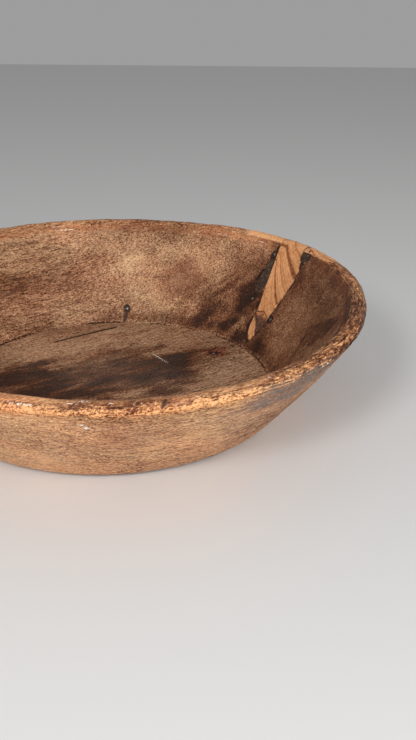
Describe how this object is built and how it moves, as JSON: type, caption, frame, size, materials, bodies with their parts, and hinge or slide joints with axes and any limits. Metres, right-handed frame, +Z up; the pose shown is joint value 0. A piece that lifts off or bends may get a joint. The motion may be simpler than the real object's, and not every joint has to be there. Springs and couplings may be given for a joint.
{
  "type": "carved wooden bowl",
  "caption": "Large shallow round bowl carved from one block of wood, with a mended split: an inlaid wedge, fillers and iron nails.",
  "frame": {"origin": "middle of the flat base, on the surface the bowl stands on", "axes": "+Z up out of the bowl's mouth; +X towards the side a quarter turn from the main view, with the mended split about 36 degrees anticlockwise from +X"},
  "size_m": [0.4366, 0.4404, 0.1018],
  "materials": {
    "old_wood": "worn oiled hardwood, dark stains inside, fibrous rim",
    "new_wood": "paler sanded wood with darker growth rings",
    "red_plug": "reddish brown wood set in dark glue",
    "dark_filler": "dull dark resin and dust filler, a little lumpy",
    "old_iron": "dark oxidised nails with worn heads"
  },
  "bodies": {
    "root": {"bowl_body": "old_wood", "wedge_patch": "new_wood", "patch_tip": "new_wood", "rim_slip": "new_wood", "notch_plug": "red_plug", "lip_filler": "dark_filler", "seam_filler": "dark_filler", "patch_nail_upper": "old_iron", "patch_nail_lower": "old_iron", "patch_nail_tip": "old_iron", "rim_nail": "old_iron", "wall_nail": "old_iron", "floor_nail": "old_iron"}
  },
  "joints": []
}
